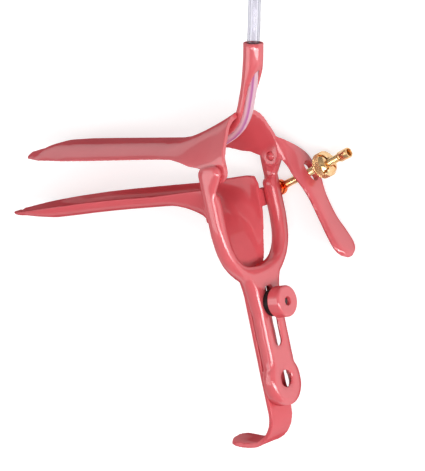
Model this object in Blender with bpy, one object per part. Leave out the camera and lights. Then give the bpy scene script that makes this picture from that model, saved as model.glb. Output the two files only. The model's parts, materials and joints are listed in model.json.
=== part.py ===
"""Coated two-bladed vaginal speculum with smoke sleeve, lying on its lever side.

Each piece is drawn in the instrument's own frame: X towards the user, Y up along the stem
to the smoke sleeve, Z towards the side away from the thumb lever. The blade pivot is that
frame's origin. One empty then lays the whole instrument down as it comes to rest.
"""

import math

import bmesh
import bpy
import numpy as np
from mathutils import Matrix, Vector

MM = 0.001
GAP = 0.3 * MM

# Sheet and coat
SHEET = 1.8 * MM

# Yoke: the fork whose stem slides on the handle bar
YOKE_FRONT = -1.7 * MM
YOKE_DEPTH = 5.8 * MM
YOKE_HALF = 22.4 * MM
ARM_WIDTH = 4.8 * MM
EYE_PLATE = 2.8 * MM
EYE_RADIUS = 3.1 * MM
ARM_STEP = -9.0 * MM
FORK_FLOOR = -42.4 * MM
STEM_HALF = 7.2 * MM
STEM_TOP = -50.0 * MM
STEM_WALL = 1.3 * MM
FLANGE = 1.5 * MM
FAR_FLANGE_DEPTH = 3.2 * MM
SLOT_TOP = -50.7 * MM
SLOT_BOTTOM = -76.3 * MM
SLOT_WIDTH = 4.9 * MM
BOSS_CENTRE = -90.0 * MM
BOSS_RADIUS = 9.2 * MM
BOSS_DROP = 1.8 * MM
BOSS_HOLE = 3.7 * MM

# Pivot pins, turned in from the arm tops
PIN_RADIUS = 1.6 * MM
PIN_PLAY = 0.3 * MM
LUG_SHEET = 2.1 * MM
LUG_RADIUS = 4.4 * MM
LUG_OUTSIDE = YOKE_HALF - EYE_PLATE - GAP

# Lower blade with its handle bar
LOWER_TIP = -125.3 * MM
LOWER_HALF = 16.6 * MM
LOWER_RIM = -6.4 * MM
LOWER_DEPTH = 5.8 * MM
LOWER_PITCH = math.radians(1.0)
LOWER_BOW = 0.9 * MM
BEND_START = -39.0 * MM
BEND_RADIUS = 28.7 * MM
BEND_HALF = 9.2 * MM
BAR_HALF = 6.6 * MM
BAR_THICK = 2.3 * MM
BAR_GAP = 0.5 * MM
BAR_END = -103.0 * MM
HOOK_RADIUS = 13.5 * MM
HOOK_REACH = 11.6 * MM
HOOK_HALF = 7.0 * MM
LIP_TURN = math.radians(26.0)
EAR_REACH = 20.0 * MM
EAR_TOP = -12.5 * MM
EAR_LENGTH = 7.5 * MM

# Upper blade, drawn level and then opened about the pins
BLADE_OPENING = math.radians(4.5)
UPPER_TIP = -113.3 * MM
UPPER_PITCH = math.radians(2.0)
UPPER_PITCH_START = -26.0 * MM
UPPER_HALF = 15.6 * MM
UPPER_EDGE = 5.7 * MM
UPPER_ROOF = 11.6 * MM
MOUTH_TOP = 21.6 * MM
MOUTH_FLARE = 33.0 * MM

# Thumb lever
LEVER_OUT = YOKE_HALF + 1.6 * MM
LEVER_HALF = 6.2 * MM
LEVER_THICK = 3.5 * MM
LEVER_SLOT_WIDTH = 4.4 * MM
LEVER_SLOT_LENGTH = 9.4 * MM

# Smoke channel and its clear tube
TUBE_RADIUS = 2.55 * MM
TUBE_WALL = 0.75 * MM
CHANNEL_WALL = 1.2 * MM
CHANNEL_BORE = TUBE_RADIUS + GAP

# Adjusting rod with its nut
ROD_OUT = YOKE_HALF + 3.1 * MM
ROD_EYE = (-4.8 * MM, -14.2 * MM)
ROD_RISE = math.radians(14.7)
ROD_RADIUS = 1.65 * MM
ROD_LENGTH = 40.2 * MM
ROD_EYE_RADIUS = 3.3 * MM
ROD_EYE_THICK = 2.2 * MM
CAP_LENGTH = 5.4 * MM
CAP_RADIUS = 2.2 * MM
NUT_START = 23.2 * MM
NUT_LENGTH = 6.0 * MM
NUT_RADIUS = 5.5 * MM
NUT_SLOT = 1.5 * MM
NUT_WASHER = 0.7 * MM
NUT_WASHER_RADIUS = 3.6 * MM
KNURL_TEETH = 30
KNURL_DEPTH = 0.28 * MM
PIVOT_SCREW_RADIUS = 1.2 * MM

# Hose beyond the sleeve, and the coil that takes the rest of its length, on the floor
HOSE_ROUTE = [(0.0655, 0.1015, 0.0331), (0.0700, 0.1160, 0.0288), (0.0748, 0.1295, 0.0217),
              (0.0795, 0.1420, 0.0141), (0.0838, 0.1535, 0.0080), (0.0874, 0.1645, 0.0043),
              (0.0908, 0.1765, 0.0035), (0.0948, 0.1906, 0.0035)]
HOSE_IN_SLEEVE = 2
HOSE_STANDOFF = 20.3 * MM
COIL_CENTRE = (0.0596, 0.2007)
COIL_RADIUS = 29.0 * MM
COIL_COLUMNS = 4
COIL_LAYERS = 3
COIL_RAISE = 0.9 * MM
TIE_ANGLE = math.radians(100)
TIE_WIDTH = 7.0 * MM
TIE_THICK = 0.6 * MM
CONNECTOR_ANGLE = math.radians(215)
CONNECTOR_LENGTH = 30.0 * MM
CONNECTOR_RADIUS = 4.3 * MM

# Clamp knob on its stud
STUD_HEIGHT = -58.1 * MM
STUD_RADIUS = 1.5 * MM
STUD_HEAD = 3.2 * MM
KNOB_RADIUS = 6.5 * MM
KNOB_LENGTH = 6.0 * MM
KNOB_WASHER = 2.4 * MM
KNOB_WASHER_RADIUS = 5.6 * MM

YOKE_REAR = YOKE_FRONT - YOKE_DEPTH
BAR_FRONT = YOKE_REAR - BAR_GAP
BAR_REAR = BAR_FRONT - BAR_THICK


def clear_scene():
    for item in list(bpy.data.objects):
        bpy.data.objects.remove(item)


def material(name, colour, roughness, metallic=0.0, alpha=1.0):
    made = bpy.data.materials.new(name)
    made.use_nodes = True
    shader = made.node_tree.nodes["Principled BSDF"]
    shader.inputs["Base Color"].default_value = (*colour, 1.0)
    shader.inputs["Roughness"].default_value = roughness
    shader.inputs["Metallic"].default_value = metallic
    shader.inputs["Alpha"].default_value = alpha
    return made


def add_object(name, vertices, faces, finish, parent, smooth=True):
    mesh = bpy.data.meshes.new(name)
    mesh.from_pydata([tuple(map(float, v)) for v in vertices], [], faces)
    editor = bmesh.new()
    editor.from_mesh(mesh)
    bmesh.ops.remove_doubles(editor, verts=editor.verts, dist=1e-6)
    bmesh.ops.recalc_face_normals(editor, faces=editor.faces)
    editor.to_mesh(mesh)
    editor.free()
    item = bpy.data.objects.new(name, mesh)
    bpy.context.collection.objects.link(item)
    if finish:
        mesh.materials.append(finish)
    if smooth:
        mesh.shade_smooth()
        mesh.set_sharp_from_angle(angle=math.radians(35))
    item.parent = parent
    return item


def make_cutter(item):
    item.hide_render = True
    item.display_type = "WIRE"
    return item


def combine(item, other, operation):
    make_cutter(other)
    change = item.modifiers.new(operation.title(), "BOOLEAN")
    change.operation = operation
    change.solver = "EXACT"
    change.object = other


def smooth_path(points, count):
    """Points spread evenly along a Catmull-Rom curve through the given points."""
    points = np.asarray(points, float)
    padded = np.vstack([2 * points[0] - points[1], points, 2 * points[-1] - points[-2]])
    fine = []
    for i in range(1, len(padded) - 2):
        a, b, c, d = padded[i - 1 : i + 3]
        for t in np.linspace(0, 1, 24, endpoint=False):
            fine.append(0.5 * (2 * b + (c - a) * t + (2 * a - 5 * b + 4 * c - d) * t**2
                               + (3 * b - a - 3 * c + d) * t**3))
    fine = np.array([*fine, padded[-2]])
    run = np.concatenate([[0], np.cumsum(np.linalg.norm(np.diff(fine, axis=0), axis=1))])
    wanted = np.linspace(0, run[-1], count)
    return np.column_stack([np.interp(wanted, run, fine[:, k]) for k in range(fine.shape[1])])


def follow(x, pairs):
    """A value that passes smoothly through (place, value) pairs."""
    places = [p[0] for p in pairs]
    values = [p[1] for p in pairs]
    i = int(np.clip(np.searchsorted(places, x) - 1, 0, len(pairs) - 2))
    t = float(np.clip((x - places[i]) / (places[i + 1] - places[i]), 0, 1))
    return values[i] + (values[i + 1] - values[i]) * t * t * (3 - 2 * t)


def loft(name, rings, finish, parent):
    """A closed body through rings of points, with flat ends."""
    size = len(rings[0])
    vertices = [p for ring in rings for p in ring]
    faces = [tuple(range(size))]
    for i in range(len(rings) - 1):
        for j in range(size):
            k = (j + 1) % size
            faces.append((i * size + j, i * size + k, (i + 1) * size + k, (i + 1) * size + j))
    faces.append(tuple(range((len(rings) - 1) * size, len(rings) * size)))
    return add_object(name, vertices, faces, finish, parent)


def prism(name, outline, low, high, place, finish, parent, bevel=0.0, segments=2):
    """An outline raised from low to high; place(a, b, h) puts it in space."""
    rings = [[place(a, b, h) for a, b in outline] for h in (low, high)]
    item = loft(name, rings, finish, parent)
    if bevel:
        change = item.modifiers.new("Rounded edges", "BEVEL")
        change.width = bevel
        change.segments = segments
        change.limit_method = "ANGLE"
        change.angle_limit = math.radians(40)
        change.use_clamp_overlap = True
    return item


def turned(name, profile, place, finish, parent, sides=32, radius_at=None):
    """A profile of (along, radius) pairs turned about its axis into a closed body."""
    rings = []
    for along, radius in profile:
        ring = []
        for k in range(sides):
            angle = 2 * math.pi * k / sides
            r = radius_at(k, along, radius) if radius_at else radius
            ring.append(place(along, r * math.cos(angle), r * math.sin(angle)))
        rings.append(ring)
    return loft(name, rings, finish, parent)


def ring_body(name, profile, place, finish, parent, sides=32, radius_at=None):
    """A closed profile of (along, radius) pairs turned into a body with a hole."""
    count = len(profile)
    vertices = []
    for k in range(sides):
        angle = 2 * math.pi * k / sides
        for along, radius in profile:
            r = radius_at(k, along, radius) if radius_at else radius
            vertices.append(place(along, r * math.cos(angle), r * math.sin(angle)))
    faces = []
    for k in range(sides):
        n = (k + 1) % sides
        for j in range(count):
            m = (j + 1) % count
            faces.append((k * count + j, k * count + m, n * count + m, n * count + j))
    return add_object(name, vertices, faces, finish, parent)


def arc(centre, radius, start, end, count):
    angles = np.radians(np.linspace(start, end, count))
    return [(centre[0] + radius * math.cos(a), centre[1] + radius * math.sin(a)) for a in angles]


def empty(name, parent=None, place=(0, 0, 0), turn=0.0):
    item = bpy.data.objects.new(name, None)
    bpy.context.collection.objects.link(item)
    item.parent = parent
    item.location = place
    item.rotation_euler = (0, 0, turn)
    return item


def xyz(along, across, up):
    """Turned about an axis that runs towards the user."""
    return (along, across, up)


def outline_place(a, b, h):
    """An outline in the plane across the instrument: a is sideways, b is up, h is towards the user."""
    return (h, b, a)


def mirrored(half):
    """A half outline from top to bottom on the near side, closed by its mirror image."""
    return list(half) + [(-a, b) for a, b in reversed(half)]


def fork_outline():
    inner = YOKE_HALF - ARM_WIDTH
    plate = YOKE_HALF - EYE_PLATE
    outer_bend = [(YOKE_HALF, -25 * MM), (21.1 * MM, -33 * MM), (18.2 * MM, -39.5 * MM),
                  (13.7 * MM, -44.4 * MM), (10.2 * MM, -47.2 * MM), (STEM_HALF + 0.9 * MM, STEM_TOP - 2 * MM)]
    inner_bend = [(inner, -25 * MM), (inner - 1.0 * MM, -32 * MM), (inner - 3.8 * MM, -37.6 * MM),
                  (9 * MM, FORK_FLOOR + 1.4 * MM), (0, FORK_FLOOR)]
    top = [(plate, 0), (YOKE_HALF, 0)]
    outside = smooth_path(outer_bend, 12)
    inside = smooth_path(inner_bend, 12)
    round_step = [(plate - GAP, ARM_STEP)] if plate - inner < GAP else arc(
        (plate, ARM_STEP - (plate - inner)), plate - inner, 90, 180, 5)
    stem = [(STEM_HALF, STEM_TOP - 12 * MM), (STEM_HALF, BOSS_CENTRE + BOSS_RADIUS + 1 * MM)]
    start = math.degrees(math.acos(STEM_HALF / BOSS_RADIUS))
    boss = arc((0, BOSS_CENTRE), BOSS_RADIUS, start, 0, 5)
    boss += arc((0, BOSS_CENTRE - BOSS_DROP), BOSS_RADIUS, 0, -90, 8)
    near = top[1:] + list(map(tuple, outside)) + stem + boss
    far = [(-a, b) for a, b in reversed(near[:-1])]
    hollow_far = [(-a, b) for a, b in top[:1] + round_step + list(map(tuple, inside))]
    hollow_near = [(-a, b) for a, b in reversed(hollow_far[:-1])]
    return near + far + hollow_far + hollow_near


def make_yoke(parent, coat):
    yoke = prism("yoke_frame", fork_outline(), YOKE_REAR, YOKE_FRONT, outline_place, coat, parent,
                 bevel=0.9 * MM)
    wall_front = YOKE_FRONT - STEM_WALL
    half = STEM_HALF - FLANGE
    pan = [(half + 0.6 * MM, STEM_TOP + 2 * MM), (half, STEM_TOP - 10 * MM),
           (half, BOSS_CENTRE + BOSS_RADIUS + 1 * MM)]
    pan += arc((0, BOSS_CENTRE), BOSS_RADIUS - FLANGE, 38, 0, 5)
    pan += arc((0, BOSS_CENTRE - BOSS_DROP), BOSS_RADIUS - FLANGE, 0, -90, 8)[:-1]
    combine(yoke, prism("pan_cut", mirrored(pan), YOKE_REAR - 1 * MM, wall_front, outline_place,
                        None, parent), "DIFFERENCE")
    low_side = [(-STEM_HALF - 1 * MM, STEM_TOP - 7 * MM), (-half + 0.1 * MM, STEM_TOP - 7 * MM),
                (-half + 0.1 * MM, SLOT_BOTTOM - 1 * MM), (-STEM_HALF - 1 * MM, SLOT_BOTTOM - 1 * MM)]
    combine(yoke, prism("flange_cut", low_side, YOKE_REAR - 1 * MM, YOKE_FRONT - FAR_FLANGE_DEPTH,
                        outline_place, None, parent), "DIFFERENCE")
    r = SLOT_WIDTH / 2
    slot = arc((0, SLOT_TOP - r), r, 0, 180, 9) + arc((0, SLOT_BOTTOM + r), r, 180, 360, 9)
    combine(yoke, prism("slot_cut", slot, YOKE_REAR, YOKE_FRONT + 1 * MM, outline_place,
                        None, parent), "DIFFERENCE")
    hole = arc((0, BOSS_CENTRE), BOSS_HOLE, 0, 360, 25)[:-1]
    combine(yoke, prism("boss_cut", hole, YOKE_REAR, YOKE_FRONT + 1 * MM, outline_place,
                        None, parent), "DIFFERENCE")
    eye = [(YOKE_FRONT, ARM_STEP + 1 * MM)] + arc((0, 0), EYE_RADIUS, -25, 90, 8)
    eye += arc((YOKE_REAR + 3.4 * MM, EYE_RADIUS - 3.4 * MM), 3.4 * MM, 90, 180, 6)
    eye += [(YOKE_REAR, ARM_STEP + 1 * MM)]
    for side, label in ((1, "near"), (-1, "far")):
        low, high = sorted((side * (YOKE_HALF - EYE_PLATE), side * YOKE_HALF))
        plate = prism(f"eye_{label}", eye, low, high, lambda a, b, h: (a, b, h), None, parent,
                      bevel=0.7 * MM)
        combine(yoke, plate, "UNION")
        end = LUG_OUTSIDE - LUG_SHEET - 0.2 * MM
        reach = YOKE_HALF - 0.8 * MM
        profile = [(side * end, PIN_RADIUS - 0.4 * MM), (side * (end + 0.4 * MM), PIN_RADIUS),
                   (side * reach, PIN_RADIUS)]
        pin = turned(f"pin_{label}", profile, lambda s, a, b: (a, b, s), None, parent, sides=20)
        combine(yoke, pin, "UNION")
    hole = turned("rod_screw_hole", [(-YOKE_HALF - 1 * MM, PIVOT_SCREW_RADIUS + GAP),
                                     (-YOKE_HALF + 3.6 * MM, PIVOT_SCREW_RADIUS + GAP)],
                  lambda s, a, b: (ROD_EYE[0] + a, ROD_EYE[1] + b, s), None, parent, sides=16)
    combine(yoke, hole, "DIFFERENCE")
    return yoke


def channel_ring(place, half, depth, sheet, side_sheet, square, count=15):
    """One section of a trough: the outer arc from rim to rim, then the inner arc back."""
    power = 2 / square
    ring = []
    for angle in np.linspace(0, math.pi, count):
        c, s = math.cos(angle), math.sin(angle)
        ring.append(place(half * math.copysign(abs(c) ** power, c), depth - depth * s**power))
    inner_half = half - side_sheet
    inner_depth = depth - sheet
    for angle in np.linspace(math.pi, 0, count):
        c, s = math.cos(angle), math.sin(angle)
        ring.append(place(inner_half * math.copysign(abs(c) ** power, c), depth - inner_depth * s**power))
    return ring


def make_lower_blade(parent, coat):
    rings = []
    blade_length = BEND_START - LOWER_TIP
    floor = LOWER_RIM - LOWER_DEPTH
    shape_half = [(0, 1.6 * MM), (0.018, 6.5 * MM), (0.05, 10.6 * MM), (0.10, 13.6 * MM),
                  (0.2, LOWER_HALF - 0.6 * MM), (0.36, LOWER_HALF), (0.7, LOWER_HALF - 1.5 * MM),
                  (1, LOWER_HALF - 1.2 * MM)]
    shape_depth = [(0, 1.6 * MM), (0.03, 1.9 * MM), (0.13, 2.6 * MM), (0.2, 4.2 * MM), (0.34, LOWER_DEPTH),
                   (1, LOWER_DEPTH)]
    for f in [0, 0.006, 0.018, 0.035, 0.06, 0.1, 0.15, 0.22, 0.31, 0.42, 0.55, 0.68, 0.8, 0.9, 1]:
        x = LOWER_TIP + f * blade_length
        half = follow(f, shape_half)
        depth = follow(f, shape_depth)
        lift = (BEND_START - x) * math.tan(LOWER_PITCH) + LOWER_BOW * math.sin(math.pi * f)
        rim = LOWER_RIM + lift

        def place(a, b, x=x, bottom=rim - depth):
            return (x, bottom + b, a)

        sheet = min(SHEET, depth - 0.5 * MM)
        rings.append(channel_ring(place, half, depth, sheet, min(SHEET, 0.6 * half), 2.5))
    centre = (BEND_START, floor - BEND_RADIUS)
    mouth = BAR_FRONT
    for degrees in [8, 16, 24, 29, 33, 37, 41, 45, 49, 53, 58, 65, 73, 82, 90]:
        angle = math.radians(degrees)
        out = (math.sin(angle), math.cos(angle))
        start = (centre[0] + BEND_RADIUS * out[0], centre[1] + BEND_RADIUS * out[1])
        to_rim = (LOWER_RIM - start[1]) / max(out[1], 0.05)
        to_mouth = (mouth - start[0]) / out[0]
        depth = 1 / (max(to_rim, 1 * MM) ** -8 + to_mouth**-8) ** 0.125
        half = follow(degrees, [(0, LOWER_HALF - 1.2 * MM), (40, LOWER_HALF), (56, LOWER_HALF - 1.0 * MM),
                                (66, LOWER_HALF - 2.6 * MM), (78, LOWER_HALF - 5.0 * MM), (90, BEND_HALF)])

        def place(a, b, start=start, out=out):
            return (start[0] + b * out[0], start[1] + b * out[1], a)

        sheet = min(SHEET, depth - 0.1 * MM)
        rings.append(channel_ring(place, half, depth, sheet, SHEET, 2.5))
    bend_end = centre[1]
    bar_start = STEM_TOP - 4 * MM
    for f in [0.2, 0.4, 0.6, 0.8, 1.0]:
        y = bend_end + f * (bar_start - bend_end)
        half = follow(f, [(0, BEND_HALF), (1, BAR_HALF)])

        def place(a, b, y=y):
            return (BAR_REAR + b, y, a)

        square = 2.5 + 3.5 * f
        rings.append(channel_ring(place, half, BAR_THICK, BAR_THICK - 0.1 * MM, SHEET * (1 - 0.6 * f), square))
    hook_centre = (BAR_REAR + BAR_THICK - HOOK_RADIUS, BAR_END)
    stretch = [(BAR_REAR, BAR_END * 0.7 + bar_start * 0.3), (BAR_REAR, BAR_END)]
    path = [(p, (1.0, 0.0)) for p in stretch]
    for degrees in range(10, 91, 10):
        angle = math.radians(degrees)
        out = (math.cos(angle), -math.sin(angle))
        inner = HOOK_RADIUS - BAR_THICK
        path.append(((hook_centre[0] + inner * out[0], hook_centre[1] + inner * out[1]), out))
    lip = path[-1][0]
    for f in (0.35, 0.7, 0.88, 0.97, 1.0):
        turn = LIP_TURN * f
        drop = HOOK_REACH * f * math.tan(turn / 2)
        out = (-math.sin(turn), -math.cos(turn))
        path.append(((lip[0] - HOOK_REACH * f, lip[1] + drop), out))
    for i, (start, out) in enumerate(path):
        left = len(path) - 1 - i
        half = HOOK_HALF * {0: 0.22, 1: 0.62, 2: 0.88}.get(left, 1.0)

        def place(a, b, start=start, out=out):
            return (start[0] + b * out[0], start[1] + b * out[1], a)

        rings.append(channel_ring(place, half, BAR_THICK, BAR_THICK - 0.1 * MM, SHEET * 0.4, 6))
    blade = loft("lower_blade", rings, coat, parent)
    ear_half = BAR_THICK / 2
    ear = [(BAR_REAR + 0.2 * MM, EAR_TOP), (BAR_FRONT - 0.1 * MM, EAR_TOP),
           (BAR_FRONT - 0.1 * MM, EAR_TOP - EAR_LENGTH), (BAR_REAR + 0.2 * MM, EAR_TOP - EAR_LENGTH)]
    for side, label in ((1, "near"), (-1, "far")):
        low, high = sorted((side * (LOWER_HALF - SHEET * 0.8), side * EAR_REACH))
        item = prism(f"ear_{label}", ear, low, high, lambda a, b, h: (a, b, h), None, parent,
                     bevel=ear_half * 0.6)
        combine(blade, item, "UNION")
    hole = turned("stud_hole", [(BAR_REAR - 1 * MM, STUD_RADIUS + GAP),
                                (BAR_FRONT + 1 * MM, STUD_RADIUS + GAP)],
                  lambda s, a, b: (s, STUD_HEIGHT + a, b), None, parent, sides=20)
    combine(blade, hole, "DIFFERENCE")
    return blade


def make_upper_blade(parent, coat):
    """The roofed blade. Its mouth stands taller and ends each side in a pivot lug."""
    rings = []
    wall = LUG_OUTSIDE
    lug_start = -9.5 * MM
    mouth_face = 1.9 * MM
    mouth_lean = LUG_RADIUS - mouth_face
    hinge_run = LUG_RADIUS - lug_start
    places = [UPPER_TIP + f * (lug_start - UPPER_TIP)
              for f in (0, 0.006, 0.02, 0.045, 0.08, 0.13, 0.19, 0.28, 0.41, 0.55, 0.68, 0.77, 0.84,
                        0.9, 0.95, 1)]
    lug_steps = [-1, -0.9, -0.66, -0.34, 0, 0.34, 0.66, 0.9, 1]
    reaches = [(LUG_RADIUS * u - lug_start) / hinge_run for u in lug_steps]
    stations = [(x, 0.0) for x in places]
    stations += [(lug_start + r * (mouth_face - lug_start), r) for r in reaches]
    for x, reach in stations:
        along = x / MM
        half = follow(along, [(UPPER_TIP / MM, 1.6 * MM), (UPPER_TIP / MM + 2, 6.0 * MM),
                              (UPPER_TIP / MM + 6, 10.0 * MM), (UPPER_TIP / MM + 14, 13.6 * MM),
                              (UPPER_TIP / MM + 34, UPPER_HALF + 0.6 * MM), (-32, UPPER_HALF - 0.6 * MM),
                              (-12, wall - 0.3 * MM), (-8, wall), (5, wall)])
        roof = follow(along - UPPER_TIP / MM, [(0, UPPER_EDGE + 1.1 * MM), (6, UPPER_EDGE + 2.2 * MM),
                                               (14, UPPER_EDGE + 4.4 * MM), (22, UPPER_ROOF), (60, UPPER_ROOF)])
        if x > -MOUTH_FLARE:
            t = (x + MOUTH_FLARE) / MOUTH_FLARE
            roof = UPPER_ROOF + (MOUTH_TOP - UPPER_ROOF) * t**1.55
        edge = follow(along, [(UPPER_TIP / MM, UPPER_EDGE - 0.4 * MM), (UPPER_PITCH_START / MM, UPPER_EDGE),
                              (lug_start / MM, 2.2 * MM), (-5.5, 0.6 * MM)])
        lift = max(UPPER_PITCH_START - x, 0) * math.tan(UPPER_PITCH)
        roof += lift
        edge += lift
        lean = mouth_lean * reach
        spring = (edge + 0.5 * MM) * (1 - reach) + 6.0 * MM * reach
        below = x + lean
        if below > -LUG_RADIUS:
            edge = min(edge, -math.sqrt(max(LUG_RADIUS**2 - below**2, 0)))
        sheet = SHEET + (LUG_SHEET - SHEET) * np.clip((along + 20) / 12, 0, 1)
        sheet = min(sheet, roof - edge - 0.6 * MM)
        rings.append(arch_ring(x, half, edge, spring, roof, sheet, min(sheet, 0.6 * half), lean))
    blade = loft("upper_blade", rings, coat, parent)
    combine(blade, make_lever(parent), "UNION")
    combine(blade, make_lever_slot(parent), "DIFFERENCE")
    hole = turned("lug_holes", [(-LUG_OUTSIDE - 1 * MM, PIN_RADIUS + PIN_PLAY),
                                (LUG_OUTSIDE + 1 * MM, PIN_RADIUS + PIN_PLAY)],
                  lambda s, a, b: (a, b, s), None, parent, sides=24)
    combine(blade, hole, "DIFFERENCE")
    return blade


def arch_ring(x, half, edge, spring, roof, sheet, side_sheet, lean, count=15):
    """One section of a roofed blade: upright to the spring line, then walls leaning in to a narrow roof."""
    leaning = smooth_path([(1, 0), (0.98, 0.08), (0.86, 0.31), (0.725, 0.57), (0.60, 0.765), (0.48, 0.875),
                           (0.34, 0.945), (0.16, 0.985), (0, 1)], count // 2 + 1)
    arch = [*leaning, *[(-a, y) for a, y in leaning[-2::-1]]]

    def point(a, y):
        drop = np.clip((roof - y) / max(roof - edge, 1 * MM), 0, 1)
        return (x + lean * drop**0.4, y, a)

    def side(half, roof):
        rise = roof - spring
        up = [point(half, edge + (spring - edge) * t) for t in (0, 0.33, 0.67)]
        over = [point(half * a, spring + rise * y) for a, y in arch]
        down = [point(-half, edge + (spring - edge) * t) for t in (0.67, 0.33, 0)]
        return up + over + down

    return side(half, roof) + side(half - side_sheet, roof - sheet)[::-1]


def lever_edges():
    """Pairs of points on the thumb lever's outer and inner edge, from its root to near its end.

    The root stands in the plane of the lug. The strap then turns its face towards the user.
    """
    side = -LUG_OUTSIDE + LUG_SHEET / 2
    outer = -LEVER_OUT - LEVER_HALF
    inner = -LEVER_OUT + LEVER_HALF
    waist = 0.9 * MM
    return [
        ((0.5 * MM, 8.4 * MM, side), (0.5 * MM, -0.9 * MM, side)),
        ((4.6 * MM, 7.6 * MM, side - 0.3 * MM), (4.2 * MM, -1.5 * MM, side)),
        ((7.7 * MM, 3.7 * MM, outer + 6.4 * MM), (7.1 * MM, -4.5 * MM, inner - 0.6 * MM)),
        ((9.8 * MM, -1.1 * MM, outer + 1.6 * MM), (10.0 * MM, -8.3 * MM, inner)),
        ((11.9 * MM, -6.2 * MM, outer + 0.2 * MM), (12.4 * MM, -11.5 * MM, inner)),
        ((14.0 * MM, -11.2 * MM, outer), (14.6 * MM, -14.5 * MM, inner)),
        ((16.0 * MM, -18.8 * MM, outer + waist), (16.7 * MM, -19.5 * MM, inner - waist)),
        ((19.7 * MM, -28.2 * MM, outer + waist), (20.2 * MM, -28.3 * MM, inner - waist)),
        ((23.0 * MM, -34.3 * MM, outer), (23.2 * MM, -34.3 * MM, inner)),
        ((26.3 * MM, -40.3 * MM, outer - 0.3 * MM), (26.3 * MM, -40.3 * MM, inner + 0.3 * MM)),
        ((28.4 * MM, -44.2 * MM, outer), (28.4 * MM, -44.2 * MM, inner)),
    ]


def lever_middle(edges):
    """Rows of outer and inner edge points, evenly spread, with the line midway between them."""
    rows = smooth_path([[*outer, *inner] for outer, inner in edges], 36)
    return rows, (rows[:, :3] + rows[:, 3:]) / 2


def make_lever(parent):
    rows, middle = lever_middle(lever_edges())
    tangents = np.gradient(middle, axis=0)
    steps = np.linalg.norm(np.diff(middle, axis=0), axis=1)
    rings = []
    for i, row in enumerate(rows):
        across = Vector((row[:3] - row[3:]) / 2)
        half = across.length
        across.normalize()
        normal = Vector(tangents[i]).cross(across).normalized()
        thick = follow(i, [(3, 1.6 * MM), (10, LEVER_THICK)])
        to_end = steps[i:].sum()
        if to_end < half:
            round_end = math.sqrt(max(1 - (1 - to_end / half) ** 2, 0))
            half *= max(round_end, 0.2)
            thick *= max(round_end**0.3, 0.45)
        ring = []
        for k in range(18):
            angle = 2 * math.pi * k / 18
            c, s = math.cos(angle), math.sin(angle)
            a = half * math.copysign(abs(c) ** 0.75, c)
            b = thick / 2 * math.copysign(abs(s) ** 0.75, s)
            ring.append(tuple(Vector(middle[i]) + across * a + normal * b))
        rings.append(ring)
    return loft("lever_blank", rings, None, parent)


def opened(x, y):
    """A point of the yoke's frame as the opened upper blade's own frame has it."""
    c, s = math.cos(BLADE_OPENING), math.sin(BLADE_OPENING)
    return (x * c - y * s, x * s + y * c)


def rod_point(along):
    return (ROD_EYE[0] + along * math.cos(ROD_RISE), ROD_EYE[1] + along * math.sin(ROD_RISE))


def make_lever_slot(parent):
    """A long hole where the rod passes the lever, along the lever's length."""
    start, end = (np.array(opened(*rod_point(along))) for along in (0, NUT_START))
    rod_run = (end - start) / NUT_START
    middle = lever_middle(lever_edges())[1][:, :2]
    beside = (middle - start) @ np.array([-rod_run[1], rod_run[0]])
    crossing = int(np.argmin(abs(beside)))
    centre = start + rod_run * ((middle[crossing] - start) @ rod_run)
    run = Vector(middle[crossing + 2] - middle[crossing - 2]).normalized()
    r = LEVER_SLOT_WIDTH / 2
    straight = LEVER_SLOT_LENGTH / 2 - r
    outline = arc((0, straight), r, 0, 180, 9) + arc((0, -straight), r, 180, 360, 9)
    across = (-run.y, run.x)

    def place(a, b, h):
        return (centre[0] + b * run.x + h * across[0], centre[1] + b * run.y + h * across[1], -ROD_OUT + a)

    return prism("lever_slot", outline, -6 * MM, 6 * MM, place, None, parent)


def channel_line():
    """Centre line of the smoke channel, from its end inside the blade to the sleeve's mouth."""
    points = [(-24.0 * MM, 6.3 * MM), (-17.0 * MM, 8.2 * MM), (-7.0 * MM, 11.6 * MM), (0.2 * MM, 15.6 * MM),
              (4.2 * MM, 20.4 * MM), (6.9 * MM, 26.4 * MM), (9.2 * MM, 32.5 * MM), (12.0 * MM, 42.5 * MM),
              (13.4 * MM, 49.4 * MM)]
    return smooth_path(points, 24)


def sweep(name, line, radius, finish, parent, sides=16, start=0, end=None):
    """A round bar along a line in the instrument's middle plane."""
    line = line[start:end]
    tangents = np.gradient(line, axis=0)
    rings = []
    for (x, y), (tx, ty) in zip(line, tangents):
        size = math.hypot(tx, ty)
        nx, ny = ty / size, -tx / size
        rings.append([(x + nx * radius * math.cos(a), y + ny * radius * math.cos(a), radius * math.sin(a))
                      for a in np.linspace(0, 2 * math.pi, sides, endpoint=False)])
    return loft(name, rings, finish, parent)


def pipe(name, line, outer, inner, finish, parent, sides=12):
    """A hollow tube along a line in the instrument's middle plane."""
    tangents = np.gradient(line, axis=0)
    vertices = []
    for (x, y), (tx, ty) in zip(line, tangents):
        size = math.hypot(tx, ty)
        nx, ny = ty / size, -tx / size
        for radius in (outer, inner):
            vertices += [(x + nx * radius * math.cos(a), y + ny * radius * math.cos(a), radius * math.sin(a))
                         for a in np.linspace(0, 2 * math.pi, sides, endpoint=False)]
    faces = []
    last = len(line) - 1
    for i in range(len(line)):
        base = 2 * sides * i
        for k in range(sides):
            n = (k + 1) % sides
            if i < last:
                above = base + 2 * sides
                faces.append((base + k, base + n, above + n, above + k))
                faces.append((base + sides + k, above + sides + k, above + sides + n, base + sides + n))
            if i in (0, last):
                faces.append((base + k, base + n, base + sides + n, base + sides + k))
    return add_object(name, vertices, faces, finish, parent)


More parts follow.
